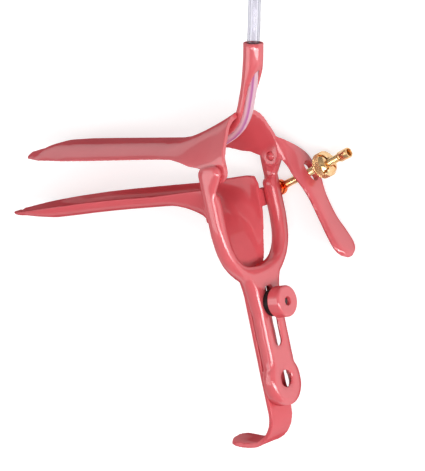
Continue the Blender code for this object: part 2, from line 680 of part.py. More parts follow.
def make_smoke_channel(parent, coat, clear):
    line = channel_line()
    outer = CHANNEL_BORE + CHANNEL_WALL
    channel = sweep("smoke_channel", line, outer, coat, parent, sides=24)
    ends = np.vstack([2 * line[0] - line[1], line, 2 * line[-1] - line[-2]])
    combine(channel, sweep("channel_bore", ends, CHANNEL_BORE, None, parent, sides=24), "DIFFERENCE")
    tangents = np.gradient(ends, axis=0)
    rings = []
    for (x, y), (tx, ty) in zip(ends, tangents):
        size = math.hypot(tx, ty)
        nx, ny = ty / size, -tx / size
        rise = np.clip((y - 29 * MM) / (14.5 * MM), 0, 1)
        if y > 44 * MM:
            break
        near = 0.3 * MM + (outer + 0.4 * MM) * rise**1.3
        far = near + 2.4 * outer
        wide = 1.5 * outer
        corners = ((near, -wide), (near, wide), (far, wide), (far, -wide))
        rings.append([(x + nx * d, y + ny * d, z) for d, z in corners])
    combine(channel, loft("channel_open_side", rings, None, parent), "DIFFERENCE")
    inside = line[1:-HOSE_IN_SLEEVE]
    pipe("smoke_tube", inside, TUBE_RADIUS, TUBE_RADIUS - TUBE_WALL, clear, parent)
    return channel


def make_channel_notch(parent):
    """The seat in the mouth's rim and roof that the channel is brazed into."""
    outer = CHANNEL_BORE + CHANNEL_WALL + GAP
    return sweep("channel_notch", channel_line(), outer, None, parent, sides=24)


def make_rod(parent, gold):
    """Drawn along X from its eye; the parent empty gives it its rise."""
    shank = [(1.6 * MM, ROD_RADIUS * 0.7), (ROD_EYE_RADIUS + 1 * MM, ROD_RADIUS),
             (ROD_LENGTH - 0.8 * MM, ROD_RADIUS), (ROD_LENGTH - 0.5 * MM, ROD_RADIUS - 0.5 * MM)]
    rod = turned("adjusting_rod", shank, xyz, gold, parent, sides=20)
    cap_start = ROD_LENGTH - CAP_LENGTH
    wide = ROD_RADIUS + 2 * MM
    core = ROD_RADIUS * 0.62
    seat = turned("cap_seat", [(cap_start - GAP, wide), (ROD_LENGTH + 1 * MM, wide)],
                  xyz, None, parent, sides=20)
    combine(rod, seat, "DIFFERENCE")
    stub = turned("rod_stub", [(cap_start - 1 * MM, core), (ROD_LENGTH - 3.4 * MM, core)],
                  xyz, None, parent, sides=16)
    combine(rod, stub, "UNION")
    flat = arc((0, 0), ROD_EYE_RADIUS, 35, 325, 20)
    flat += [(ROD_EYE_RADIUS + 2.2 * MM, -ROD_RADIUS * 0.8), (ROD_EYE_RADIUS + 2.2 * MM, ROD_RADIUS * 0.8)]
    eye = prism("rod_eye", flat, -ROD_EYE_THICK / 2, ROD_EYE_THICK / 2, lambda a, b, h: (a, b, h),
                None, parent, bevel=0.4 * MM)
    combine(rod, eye, "UNION")
    hole = turned("rod_eye_hole", [(-3 * MM, PIVOT_SCREW_RADIUS + GAP), (3 * MM, PIVOT_SCREW_RADIUS + GAP)],
                  lambda s, a, b: (a, b, s), None, parent, sides=16)
    combine(rod, hole, "DIFFERENCE")
    rim = 0.4 * MM
    bore = core + GAP
    mouth = CAP_RADIUS - 0.7 * MM
    ring_body("rod_end_cap", [(cap_start, bore), (cap_start, CAP_RADIUS - rim), (cap_start + rim, CAP_RADIUS),
                              (ROD_LENGTH - rim, CAP_RADIUS), (ROD_LENGTH, CAP_RADIUS - rim),
                              (ROD_LENGTH, mouth), (ROD_LENGTH - 3 * MM, mouth), (ROD_LENGTH - 3 * MM, bore)],
              xyz, gold, parent, sides=24)
    return rod


def make_nut(parent, gold):
    """Drawn along X; its place is counted from the rod's eye."""
    start, end = NUT_START, NUT_START + NUT_LENGTH
    bore = ROD_RADIUS + GAP
    grip = start + 1.1 * MM

    def knurled(k, along, radius):
        return radius - (KNURL_DEPTH if k % 2 and radius > NUT_RADIUS - 0.1 * MM else 0)

    profile = [(start, bore), (start, NUT_RADIUS - 1.3 * MM), (grip, NUT_RADIUS - 0.9 * MM),
               (grip, NUT_RADIUS), (end - 1.6 * MM, NUT_RADIUS), (end - 1.2 * MM, NUT_RADIUS - 0.5 * MM),
               (end - 0.4 * MM, NUT_RADIUS - 1.2 * MM), (end, NUT_RADIUS - 2.0 * MM), (end, bore)]
    nut = ring_body("adjusting_nut", profile, xyz, gold, parent, sides=2 * KNURL_TEETH, radius_at=knurled)
    half = NUT_SLOT / 2
    deep = end - 2.2 * MM
    far = end + 1 * MM
    reach = NUT_RADIUS + 1 * MM
    for turn in (38, 128):
        c, s = math.cos(math.radians(turn)), math.sin(math.radians(turn))

        def place(a, b, h, c=c, s=s):
            return (h, a * c - b * s, a * s + b * c)

        bar = prism(f"nut_slot_{turn}", [(-reach, -half), (reach, -half), (reach, half), (-reach, half)],
                    deep, far, place, None, parent)
        combine(nut, bar, "DIFFERENCE")
    washer_end = start - GAP
    washer_start = washer_end - NUT_WASHER
    ring_body("nut_washer", [(washer_start, bore), (washer_start, NUT_WASHER_RADIUS),
                             (washer_end, NUT_WASHER_RADIUS), (washer_end, bore)], xyz, gold, parent, sides=32)
    return nut


def make_rod_pivot(parent, gold):
    """The shoulder screw on the far arm, with the washer that spaces the rod's eye off it."""
    def place(s, a, b):
        return (ROD_EYE[0] + a, ROD_EYE[1] + b, s)

    arm = -YOKE_HALF
    eye_inner = -ROD_OUT + ROD_EYE_THICK / 2
    eye_outer = -ROD_OUT - ROD_EYE_THICK / 2
    ring_body("rod_pivot_washer", [(arm - GAP, PIVOT_SCREW_RADIUS + GAP), (arm - GAP, 2.9 * MM),
                                   (eye_inner + GAP, 2.9 * MM), (eye_inner + GAP, PIVOT_SCREW_RADIUS + GAP)],
              place, gold, parent, sides=24)
    head = eye_outer - GAP
    turned("rod_pivot_screw", [(arm + 3.2 * MM, PIVOT_SCREW_RADIUS * 0.7), (arm + 2.9 * MM, PIVOT_SCREW_RADIUS),
                               (head, PIVOT_SCREW_RADIUS), (head, 2.5 * MM), (head - 0.7 * MM, 2.5 * MM),
                               (head - 1.1 * MM, 1.7 * MM)], place, gold, parent, sides=24)


def make_clamp(base, knob_axis, coat, black, steel):
    def place(s, a, b):
        return (s, STUD_HEIGHT + a, b)

    knob_start = YOKE_FRONT + GAP + KNOB_WASHER + GAP
    knob_end = knob_start + KNOB_LENGTH
    head = BAR_REAR - GAP
    turned("clamp_stud", [(head - 1.0 * MM, STUD_HEAD - 0.8 * MM), (head - 0.4 * MM, STUD_HEAD),
                          (head, STUD_HEAD), (head, STUD_RADIUS), (knob_end - 1.6 * MM, STUD_RADIUS),
                          (knob_end - 1.2 * MM, STUD_RADIUS - 0.4 * MM)],
           place, steel, base, sides=20)
    bore = STUD_RADIUS + GAP
    low, high = YOKE_FRONT + GAP, YOKE_FRONT + GAP + KNOB_WASHER
    ring_body("knob_washer", [(low, bore), (low, KNOB_WASHER_RADIUS), (high, KNOB_WASHER_RADIUS), (high, bore)],
              place, black, base, sides=32)
    edge = 0.9 * MM
    profile = [(knob_start, bore), (knob_start, KNOB_RADIUS - 0.5 * MM), (knob_start + 0.5 * MM, KNOB_RADIUS)]
    profile += [(knob_end - edge + y, KNOB_RADIUS - edge + x) for x, y in arc((0, 0), edge, 0, 90, 5)]
    profile += [(knob_end, bore)]
    ring_body("clamp_knob", profile, xyz, coat, knob_axis, sides=40)


def solid_parts():
    """Each solid's corners in the instrument's frame, with its volume and centre."""
    graph = bpy.context.evaluated_depsgraph_get()
    corners, total, moment = [], 0.0, np.zeros(3)
    for item in bpy.data.objects:
        if item.type != "MESH" or item.hide_render:
            continue
        evaluated = item.evaluated_get(graph)
        mesh = evaluated.to_mesh()
        mesh.calc_loop_triangles()
        points = np.array([item.matrix_world @ v.co for v in mesh.vertices])
        triangles = points[np.array([t.vertices for t in mesh.loop_triangles])]
        volumes = np.einsum("ij,ij->i", triangles[:, 0], np.cross(triangles[:, 1], triangles[:, 2])) / 6
        total += volumes.sum()
        moment += (volumes[:, None] * triangles.mean(axis=1) * 0.75).sum(axis=0)
        corners.append(points)
        evaluated.to_mesh_clear()
    return np.vstack(corners), moment / total


def floor_under(points, centre):
    """The three corners that hold the points up, under the centre of gravity."""
    far = 10.0
    held = np.array([[centre[0] + far * math.cos(a), centre[1] + far * math.sin(a), far]
                     for a in (0.3, 2.4, 4.5)])

    def inside(corners):
        signs = [np.cross(corners[i - 2][:2] - corners[i][:2], centre[:2] - corners[i][:2]) for i in range(3)]
        return all(s >= 0 for s in signs) or all(s <= 0 for s in signs)

    for _ in range(200):
        plane = np.linalg.solve(np.column_stack([held[:, :2], np.ones(3)]), held[:, 2])
        heights = points[:, 2] - points[:, :2] @ plane[:2] - plane[2]
        lowest = int(np.argmin(heights))
        if heights[lowest] > -1e-7:
            break
        for k in range(3):
            trial = held.copy()
            trial[k] = points[lowest]
            if inside(trial):
                held = trial
                break
    return plane


def lay_down(root):
    """Turns the instrument so that it lies on its lever side, with the origin under its box."""
    points, centre = solid_parts()
    turn = Matrix.Identity(4)
    for _ in range(12):
        current = np.array(turn)[:3, :3]
        plane = floor_under(points @ current.T, current @ centre)
        normal = Vector((-plane[0], -plane[1], 1)).normalized()
        turn = normal.rotation_difference(Vector((0, 0, 1))).to_matrix().to_4x4() @ turn
    heading = turn @ Vector((1, 0, 0))
    turn = Matrix.Rotation(-math.atan2(heading.y, heading.x), 4, "Z") @ turn
    placed = points @ np.array(turn)[:3, :3].T
    low, high = placed.min(axis=0), placed.max(axis=0)
    root.matrix_world = Matrix.Translation((-(low[0] + high[0]) / 2, -(low[1] + high[1]) / 2, -low[2])) @ turn


def make_hose(hinge, clear, blue):
    """The hose from the sleeve to the coil, which lies in the row frame beyond the instrument."""
    def lifted(point):
        return np.array(hinge.matrix_world @ Vector((point[0], point[1], 0)))

    line = channel_line()
    before, start = lifted(line[-2 - HOSE_IN_SLEEVE]), lifted(line[-1 - HOSE_IN_SLEEVE])
    heading = (start - before) / np.linalg.norm(start - before)
    mouth = lifted(line[-1])
    route = [start + heading * GAP, mouth, mouth + heading * 2.5 * TUBE_RADIUS, *map(np.array, HOSE_ROUTE)]
    coil_side = COIL_COLUMNS * TUBE_RADIUS
    outside = COIL_RADIUS + coil_side
    line = smooth_path(route, 240)
    away = np.linalg.norm(line[:, :2] - np.array(COIL_CENTRE), axis=1)
    line = line[away > math.hypot(outside - TUBE_RADIUS, HOSE_STANDOFF)]
    points = line[np.linspace(0, len(line) - 1, 13).astype(int)]
    path = bpy.data.curves.new("smoke_hose", "CURVE")
    path.dimensions = "3D"
    path.bevel_depth = TUBE_RADIUS
    path.bevel_resolution = 2
    path.use_fill_caps = True
    path.materials.append(clear)
    spline = path.splines.new("POLY")
    spline.points.add(len(points) - 1)
    for item, point in zip(spline.points, points):
        item.co = (*point, 1.0)
    bpy.context.collection.objects.link(bpy.data.objects.new("smoke_hose", path))

    def standing(height, a, b):
        return (COIL_CENTRE[0] + a, COIL_CENTRE[1] + b, height)

    low, high = COIL_RAISE, COIL_RAISE + COIL_LAYERS * 2 * TUBE_RADIUS
    near, far = COIL_RADIUS - coil_side, outside
    edge = TUBE_RADIUS * 0.7
    section = [(low + edge, near), (low, near + edge), (low, far - edge), (low + edge, far),
               (high - edge, far), (high, far - edge), (high, near + edge), (high - edge, near)]
    ring_body("hose_coil", section, standing, clear, None, sides=40)
    make_tie(near, far, low, high, blue)
    make_connector(high, blue)


def make_tie(near, far, low, high, finish):
    """A flat band closed round the coil's section."""
    out = np.array([math.cos(TIE_ANGLE), math.sin(TIE_ANGLE)])
    along = np.array([-out[1], out[0]])
    sagitta = far - math.sqrt(far**2 - (TIE_WIDTH / 2) ** 2)
    vertices, faces = [], []
    for grow in (GAP, GAP + TIE_THICK):
        inner, outer = near - grow - sagitta, far + grow
        corner = 1.2 * MM + grow
        section = arc((outer - corner, high + grow - corner), corner, 0, 90, 5)
        section += arc((inner + corner, high + grow - corner), corner, 90, 180, 5)
        section += arc((inner + corner, low - grow + corner), corner, 180, 270, 5)
        section += arc((outer - corner, low - grow + corner), corner, 270, 360, 5)
        for side in (-TIE_WIDTH / 2, TIE_WIDTH / 2):
            for radius, height in section:
                x, y = np.array(COIL_CENTRE) + out * radius + along * side
                vertices.append((x, y, height))
    count = len(vertices) // 4
    for j in range(count):
        k = (j + 1) % count
        for a, b in ((0, 1), (1, 3), (3, 2), (2, 0)):
            faces.append((a * count + j, a * count + k, b * count + k, b * count + j))
    add_object("coil_tie", vertices, faces, finish, None)


def make_connector(coil_top, finish):
    """A stepped connector with a through bore, lying along the top of the coil."""
    out = Vector((math.cos(CONNECTOR_ANGLE), math.sin(CONNECTOR_ANGLE), 0))
    along = Vector((-out.y, out.x, 0))
    middle = Vector((*COIL_CENTRE, coil_top + GAP + CONNECTOR_RADIUS)) + out * COIL_RADIUS
    half = CONNECTOR_LENGTH / 2
    bore, tail = 1.4 * MM, 3.4 * MM
    collar = -half + 12 * MM
    profile = [(-half, TUBE_RADIUS + GAP), (-half, tail), (collar, tail + 0.3 * MM),
               (collar, CONNECTOR_RADIUS), (collar + 2.4 * MM, CONNECTOR_RADIUS), (collar + 2.4 * MM, tail),
               (half, TUBE_RADIUS), (half, bore), (collar, bore), (collar, TUBE_RADIUS + GAP)]

    def place(s, a, b):
        return tuple(middle + along * s + out * a + Vector((0, 0, b)))

    ring_body("hose_connector", profile, place, finish, None, sides=24)


def build():
    clear_scene()
    coat = material("coral_coat", (0.62, 0.13, 0.15), 0.25)
    gold = material("gold_metal", (0.83, 0.55, 0.2), 0.2, metallic=1.0)
    black = material("black_washer", (0.01, 0.01, 0.01), 0.45)
    steel = material("steel_stud", (0.3, 0.3, 0.31), 0.3, metallic=1.0)
    clear = material("clear_tube", (0.86, 0.86, 0.9), 0.1, alpha=0.4)
    blue = material("pale_blue_plastic", (0.35, 0.55, 0.75), 0.4)
    root = empty("resting_pose")
    blade_hinge = empty("blade_hinge", root, turn=-BLADE_OPENING)
    rod_hinge = empty("rod_hinge", root, (ROD_EYE[0], ROD_EYE[1], -ROD_OUT), ROD_RISE)
    knob_axis = empty("knob_axis", root, (0, STUD_HEIGHT, 0))
    make_lower_blade(root, coat)
    make_yoke(root, coat)
    make_rod_pivot(root, gold)
    make_clamp(root, knob_axis, coat, black, steel)
    blade = make_upper_blade(blade_hinge, coat)
    combine(blade, make_channel_notch(blade_hinge), "DIFFERENCE")
    make_smoke_channel(blade_hinge, coat, clear)
    make_rod(rod_hinge, gold)
    make_nut(rod_hinge, gold)
    bpy.context.view_layer.update()
    lay_down(root)
    bpy.context.view_layer.update()
    make_hose(blade_hinge, clear, blue)


build()
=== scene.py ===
"""Dressed speculum: dip-coated blades and frame, gold-plated screw, clear smoke tubing."""

import json
import math

import bmesh
import bpy
import numpy as np
from mathutils import Matrix, Vector


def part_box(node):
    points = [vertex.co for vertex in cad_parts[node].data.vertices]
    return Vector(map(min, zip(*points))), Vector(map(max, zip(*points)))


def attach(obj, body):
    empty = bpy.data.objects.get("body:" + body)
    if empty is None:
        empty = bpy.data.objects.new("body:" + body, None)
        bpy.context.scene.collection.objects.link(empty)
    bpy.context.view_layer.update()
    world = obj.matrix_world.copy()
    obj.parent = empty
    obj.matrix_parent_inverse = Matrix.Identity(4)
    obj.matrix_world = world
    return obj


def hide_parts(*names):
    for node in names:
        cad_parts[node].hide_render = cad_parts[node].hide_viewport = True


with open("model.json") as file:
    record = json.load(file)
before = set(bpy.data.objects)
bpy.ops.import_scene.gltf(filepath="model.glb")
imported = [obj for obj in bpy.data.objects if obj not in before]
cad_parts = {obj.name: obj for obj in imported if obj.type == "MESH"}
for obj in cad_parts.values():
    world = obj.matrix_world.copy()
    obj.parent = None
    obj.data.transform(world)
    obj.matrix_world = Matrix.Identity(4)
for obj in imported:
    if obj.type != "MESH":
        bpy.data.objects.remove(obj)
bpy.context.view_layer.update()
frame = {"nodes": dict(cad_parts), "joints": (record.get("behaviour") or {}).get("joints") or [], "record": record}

MM = 0.001
JOINTS = {joint["name"]: joint for joint in frame["joints"]}
BODY_OF = {node: body for body, nodes in frame["record"]["behaviour"]["bodies"].items() for node in nodes}

# The instrument's own axes: X towards the user, Y up the stem, Z away from the lever, pivot at the origin
PIVOT = Vector(JOINTS["blade_tilt"]["pos_m"])
TO_USER = Vector(JOINTS["knob_turn"]["axis"]).normalized()
UP_STEM = Vector(JOINTS["frame_slide"]["axis"]).normalized()
NEAR_SIDE = TO_USER.cross(UP_STEM).normalized()
ROD_START = Vector(JOINTS["rod_tilt"]["pos_m"])
ROD_AXIS = Vector(JOINTS["nut_travel"]["axis"]).normalized()

# Clear tubing
TUBE_RADIUS = 2.55 * MM
TUBE_WALL = 0.75 * MM
HOSE_LENGTH = 1.8
HOSE_START = [(0.05903, 0.07691, 0.03296), (0.06036, 0.08189, 0.03334), (0.0623, 0.08794, 0.03384)]
HOSE_ROUTE = [(0.0655, 0.1015, 0.0331), (0.0700, 0.1160, 0.0288), (0.0748, 0.1295, 0.0217),
              (0.0795, 0.1420, 0.0141), (0.0838, 0.1535, 0.0080), (0.0874, 0.1645, 0.0043),
              (0.0908, 0.1765, 0.0035), (0.0948, 0.1906, 0.0035)]
COIL_CENTRE = (0.0596, 0.2007)
COIL_RADIUS = 29.0 * MM
COIL_COLUMNS = 4
COIL_LAYERS = 3
COIL_STEPS = 48
COIL_CLIMB = 0.12
# More turns than the hose has length for, so its length ends the coil
COIL_TURNS = 12
HOSE_POINTS = 90
TUBE_SIDES = 24

# Rounded copies: node, size of the remade surface's cells, passes that round its edges and its shading
COAT_FILL = 0.06 * MM
COATED = [("lower_blade", 0.42 * MM, 50, 1), ("upper_blade", 0.40 * MM, 40, 0),
          ("yoke_frame", 0.36 * MM, 90, 20), ("smoke_channel", 0.30 * MM, 30, 10)]
CHANNEL_TUBE = ("smoke_tube", 0.26 * MM, 20, 10)
EVEN_PASSES = 40

# Adjusting rod, its cap and its nut
ROD_RADIUS = 1.65 * MM
ROD_LENGTH = 40.2 * MM
ROD_EYE_RADIUS = 3.3 * MM
ROD_EYE_THICK = 2.2 * MM
CORE_RADIUS = ROD_RADIUS * 0.62
RUNNING_GAP = 0.3 * MM
THREAD_PITCH = 0.8 * MM
THREAD_DEPTH = 0.36 * MM
CAP_LENGTH = 5.4 * MM
CAP_RADIUS = 2.2 * MM
NUT_START = 23.2 * MM
NUT_LENGTH = 6.0 * MM
NUT_RADIUS = 5.5 * MM
NUT_SLOT = 1.0 * MM
NUT_SLOT_DEPTH = 2.2 * MM
NUT_SLOT_TURNS = (38, 128)
KNURL_TEETH = 36
KNURL_DEPTH = 0.3 * MM
SCREW_HOLE = 1.5 * MM

# Clamp knob
KNOB_RADIUS = 6.5 * MM
KNOB_RIM = 1.1 * MM
KNOB_BACK_RIM = 0.6 * MM
KNOB_HOLE = 1.8 * MM
KNOB_CENTRE = Vector(JOINTS["knob_turn"]["pos_m"])

# An edge that turns more than this stays sharp in the shading
SHARP_ANGLE = math.radians(42)

# Materials
NOISE_ROUGHNESS = 0.55
NOISE_RANGE = (0.3, 0.7)
GLOSS_FADE = (0.35, 0.72)

# Room
FLOOR_GLOW = 0.62
FLOOR_TONE = 0.55

# Photograph's view, in the instrument's axes
VIEW_RIGHT = Vector((0.7675, -0.2075, -0.607))
VIEW_BACK = Vector((0.633, 0.093, 0.7685)).normalized()
CAMERA_DISTANCE = 1.5
PHOTO_WIDTH = 425
PIXELS_PER_MM = 2.45
PIVOT_PIXEL = (245.0, 164.0)
PHOTO_CENTRE = (212.5, 235.5)


def to_world(vector):
    return TO_USER * vector.x + UP_STEM * vector.y + NEAR_SIDE * vector.z


def add_mesh(name, vertices, faces):
    mesh = bpy.data.meshes.new(name)
    mesh.from_pydata([tuple(map(float, v)) for v in vertices], [], faces)
    mesh.validate()
    item = bpy.data.objects.new(name, mesh)
    bpy.context.scene.collection.objects.link(item)
    mesh.shade_smooth()
    return item


def face_outwards(item):
    editor = bmesh.new()
    editor.from_mesh(item.data)
    bmesh.ops.recalc_face_normals(editor, faces=editor.faces)
    editor.to_mesh(item.data)
    editor.free()


def paint(item, finish):
    item.data.materials.clear()
    item.data.materials.append(finish)
    return item


def seat(item, node):
    """Puts the piece in the CAD node's place, on its body."""
    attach(item, BODY_OF[node])
    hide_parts(node)


# Camera

def view_axes():
    back = to_world(VIEW_BACK).normalized()
    right = to_world(VIEW_RIGHT)
    right = (right - back * right.dot(back)).normalized()
    return right, back.cross(right), back


def add_camera():
    right, up, back = view_axes()
    across = (PHOTO_CENTRE[0] - PIVOT_PIXEL[0]) / PIXELS_PER_MM * MM
    down = (PHOTO_CENTRE[1] - PIVOT_PIXEL[1]) / PIXELS_PER_MM * MM
    aim = PIVOT + right * across - up * down
    camera = bpy.data.objects.new("camera", bpy.data.cameras.new("camera"))
    bpy.context.scene.collection.objects.link(camera)
    turn = Matrix((right, up, back)).transposed().to_4x4()
    camera.matrix_world = Matrix.Translation(aim + back * CAMERA_DISTANCE) @ turn
    lens = camera.data
    lens.sensor_fit = "HORIZONTAL"
    lens.sensor_width = 36.0
    lens.lens = PIXELS_PER_MM * CAMERA_DISTANCE / MM * lens.sensor_width / PHOTO_WIDTH
    lens.clip_start = 0.05
    lens.clip_end = 20.0
    bpy.context.scene.camera = camera
    return aim


# Hose

def smooth_path(points, count):
    """Points spread evenly along a Catmull-Rom curve through the given points."""
    points = np.asarray(points, float)
    padded = np.vstack([2 * points[0] - points[1], points, 2 * points[-1] - points[-2]])
    fine = []
    for i in range(1, len(padded) - 2):
        a, b, c, d = padded[i - 1 : i + 3]
        for t in np.linspace(0, 1, 24, endpoint=False):
            fine.append(0.5 * (2 * b + (c - a) * t + (2 * a - 5 * b + 4 * c - d) * t**2
                               + (3 * b - a - 3 * c + d) * t**3))
    return even_spread(np.array([*fine, padded[-2]]), count)


def even_spread(line, count):
    run = np.concatenate([[0], np.cumsum(np.linalg.norm(np.diff(line, axis=0), axis=1))])
    wanted = np.linspace(0, run[-1], count)
    return np.column_stack([np.interp(wanted, run, line[:, k]) for k in range(3)])


def coil_line(start_angle, turns):
    """Turns wound inwards, then outwards, layer upon layer; the last stretch climbs onto the coil."""
    pitch = 2 * TUBE_RADIUS
    half = (COIL_COLUMNS - 1) * TUBE_RADIUS
    per_layer = COIL_COLUMNS - 1
    first_height = HOSE_ROUTE[-1][2]
    line = []
    for turn in np.arange(0.01, turns, 1 / COIL_STEPS):
        layer = min(int(turn / per_layer), COIL_LAYERS)
        into = turn - layer * per_layer
        inwards = layer % 2 == 0
        offset = half - pitch * into if inwards else -half + pitch * into
        rise = 0.0
        if layer < COIL_LAYERS and into > per_layer - COIL_CLIMB:
            rise = (into - per_layer + COIL_CLIMB) / COIL_CLIMB
        height = first_height + pitch * (layer + rise * rise * (3 - 2 * rise))
        if layer == COIL_LAYERS:
            height = first_height + pitch * layer
            offset = -half + pitch * min(into * 2.2, 1.5)
        angle = start_angle + 2 * math.pi * turn
        radius = COIL_RADIUS + offset
        line.append((COIL_CENTRE[0] + radius * math.cos(angle), COIL_CENTRE[1] + radius * math.sin(angle),
                     height))
    return np.array(line)


def hose_line():
    route = smooth_path(HOSE_START + HOSE_ROUTE, HOSE_POINTS)
    start = np.array(HOSE_ROUTE[-1][:2]) - np.array(COIL_CENTRE)
    start_angle = math.atan2(start[1], start[0])
    line = np.vstack([route, coil_line(start_angle, COIL_TURNS)])
    run = np.concatenate([[0], np.cumsum(np.linalg.norm(np.diff(line, axis=0), axis=1))])
    return line[run <= HOSE_LENGTH]


def tube_mesh(name, line, outer, inner, sides):
    """A hollow tube along a line, with its sections carried along without twist."""
    tangents = np.gradient(line, axis=0)
    tangents /= np.linalg.norm(tangents, axis=1)[:, None]
    normal = Vector(tangents[0]).orthogonal().normalized()
    vertices = []
    for point, tangent in zip(line, tangents):
        tangent = Vector(tangent)
        normal = (normal - tangent * normal.dot(tangent)).normalized()
        binormal = tangent.cross(normal)
        for radius in (outer, inner):
            for k in range(sides):
                angle = 2 * math.pi * k / sides
                vertices.append(Vector(point) + normal * radius * math.cos(angle)
                                + binormal * radius * math.sin(angle))
    faces = []
    last = len(line) - 1
    for i in range(len(line)):
        base = 2 * sides * i
        for k in range(sides):
            n = (k + 1) % sides
            if i < last:
                above = base + 2 * sides
                faces.append((base + k, base + n, above + n, above + k))
                faces.append((base + sides + k, above + sides + k, above + sides + n, base + sides + n))
            if i == 0:
                faces.append((base + k, base + sides + k, base + sides + n, base + n))
            if i == last:
                faces.append((base + k, base + n, base + sides + n, base + sides + k))
    return add_mesh(name, vertices, faces)


def add_hose(clear):
    line = hose_line()
    hose = tube_mesh("clear_hose", line, TUBE_RADIUS, TUBE_RADIUS - TUBE_WALL, TUBE_SIDES)
    paint(hose, clear)
    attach(hose, "upper")
    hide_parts("smoke_hose", "hose_coil")


# Rounded copies of the coated pieces and the soft tube

def neighbours_mean(values, edges, count, weights):
    total = np.zeros_like(values)
    for a, b in ((0, 1), (1, 0)):
        for axis in range(values.shape[1]):
            total[:, axis] += np.bincount(edges[:, a], values[edges[:, b], axis] * weights, minlength=count)
    shares = sum(np.bincount(edges[:, end], weights, minlength=count) for end in (0, 1))
    return total / np.maximum(shares, 1e-9)[:, None]


def soften(mesh, passes, round_passes, limits):
    """Evens out the surface without thinning it, then rounds its shading over edges and evens it in faces."""
    count = len(mesh.vertices)
    points = np.empty(count * 3)
    mesh.vertices.foreach_get("co", points)
    points = points.reshape(-1, 3)
    edges = np.empty(len(mesh.edges) * 2, int)
    mesh.edges.foreach_get("vertices", edges)
    edges = edges.reshape(-1, 2)
    ones = np.ones(len(edges))
    for _ in range(passes):
        for share in (0.5, -0.52):
            points += share * (neighbours_mean(points, edges, count, ones) - points)
    points = np.clip(points, limits[0], limits[1])
    mesh.vertices.foreach_set("co", points.ravel())
    mesh.update()
    normals = np.empty(count * 3)
    mesh.vertex_normals.foreach_get("vector", normals)
    normals = normals.reshape(-1, 3)
    for step in range(EVEN_PASSES + round_passes):
        weights = ones
        if step >= round_passes:
            alike = np.einsum("ij,ij->i", normals[edges[:, 0]], normals[edges[:, 1]])
            weights = np.clip((alike - 0.93) / 0.05, 0.001, 1)
        normals = 0.3 * normals + 0.7 * neighbours_mean(normals, edges, count, weights)
        normals /= np.linalg.norm(normals, axis=1)[:, None]
    mesh.shade_smooth()
    mesh.normals_split_custom_set_from_vertices(normals)


def rounded_copy(node, finish, voxel, passes, round_passes):
    """The CAD node with its edges and joints rounded, as a thick coat or soft tubing has them."""
    source = frame["nodes"][node]
    item = bpy.data.objects.new(node + "_coated", source.data.copy())
    bpy.context.scene.collection.objects.link(item)
    item.matrix_world = source.matrix_world
    fuller = item.modifiers.new("Fuller", "DISPLACE")
    fuller.mid_level = 0.0
    fuller.strength = COAT_FILL
    change = item.modifiers.new("Coat", "REMESH")
    change.mode = "VOXEL"
    change.voxel_size = voxel
    bpy.context.view_layer.update()
    graph = bpy.context.evaluated_depsgraph_get()
    mesh = bpy.data.meshes.new_from_object(item.evaluated_get(graph))
    item.modifiers.clear()
    item.data = mesh
    soften(mesh, passes, round_passes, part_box(node))
    paint(item, finish)
    seat(item, node)


# Adjusting rod with its cap and nut, and the clamp knob


def rod_run():
    """Direction from the rod's eye to its cap."""
    low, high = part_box("rod_end_cap")
    return ROD_AXIS if ROD_AXIS.dot((low + high) / 2 - ROD_START) > 0 else -ROD_AXIS


ROD_RUN = rod_run()
ROD_SIDE = NEAR_SIDE.cross(ROD_RUN).normalized()


def rod_space(along, across, up):
    """World place of a point given along the rod, across it and towards the near side."""
    return ROD_START + ROD_RUN * along + ROD_SIDE * across + NEAR_SIDE * up


def knob_space(along, across, up):
    """World place of a point given along the knob's axis and beside it."""
    return KNOB_CENTRE + TO_USER * along + UP_STEM * across + NEAR_SIDE * up


def lathe(name, profile, sides, finish, hollow=False, shape=None, place=None):
    """A body turned from (along, radius) pairs; shape alters the radius by angle and place."""
    place = place or rod_space
    vertices = []
    for i, (along, radius) in enumerate(profile):
        for k in range(sides):
            angle = 2 * math.pi * k / sides
            r = shape(angle, along, radius) if shape else radius
            vertices.append(place(along, r * math.cos(angle), r * math.sin(angle)))
    faces = []
    count = len(profile)
    for i in range(count if hollow else count - 1):
        a, b = i * sides, ((i + 1) % count) * sides
        for k in range(sides):
            n = (k + 1) % sides
            faces.append((a + k, a + n, b + n, b + k))
    if not hollow:
        faces.append(tuple(range(sides)))
        faces.append(tuple(range((count - 1) * sides, count * sides))[::-1])
    item = add_mesh(name, vertices, faces)
    face_outwards(item)
    item.data.set_sharp_from_angle(angle=SHARP_ANGLE)
    return paint(item, finish)


def slab(name, outline, low, high, finish, bevel):
    """A flat piece with its outline in the rod's along and across directions."""
    count = len(outline)
    vertices = [rod_space(a, b, h) for h in (low, high) for a, b in outline]
    faces = [tuple(range(count))[::-1], tuple(range(count, 2 * count))]
    faces += [(k, (k + 1) % count, count + (k + 1) % count, count + k) for k in range(count)]
    item = paint(add_mesh(name, vertices, faces), finish)
    if bevel:
        change = item.modifiers.new("Edge", "BEVEL")
        change.width = bevel
        change.segments = 3
        change.limit_method = "ANGLE"
        change.angle_limit = math.radians(50)
    return item


def bake_down(item):
    """The item's mesh with its modifiers taken into it."""
    bpy.context.view_layer.update()
    mesh = bpy.data.meshes.new_from_object(item.evaluated_get(bpy.context.evaluated_depsgraph_get()))
    item.modifiers.clear()
    item.data = mesh
    return item


def cut(item, tool):
    change = item.modifiers.new("Cut", "BOOLEAN")
    change.operation = "DIFFERENCE"
    change.solver = "EXACT"
    change.object = tool
    bake_down(item)
    bpy.data.objects.remove(tool)


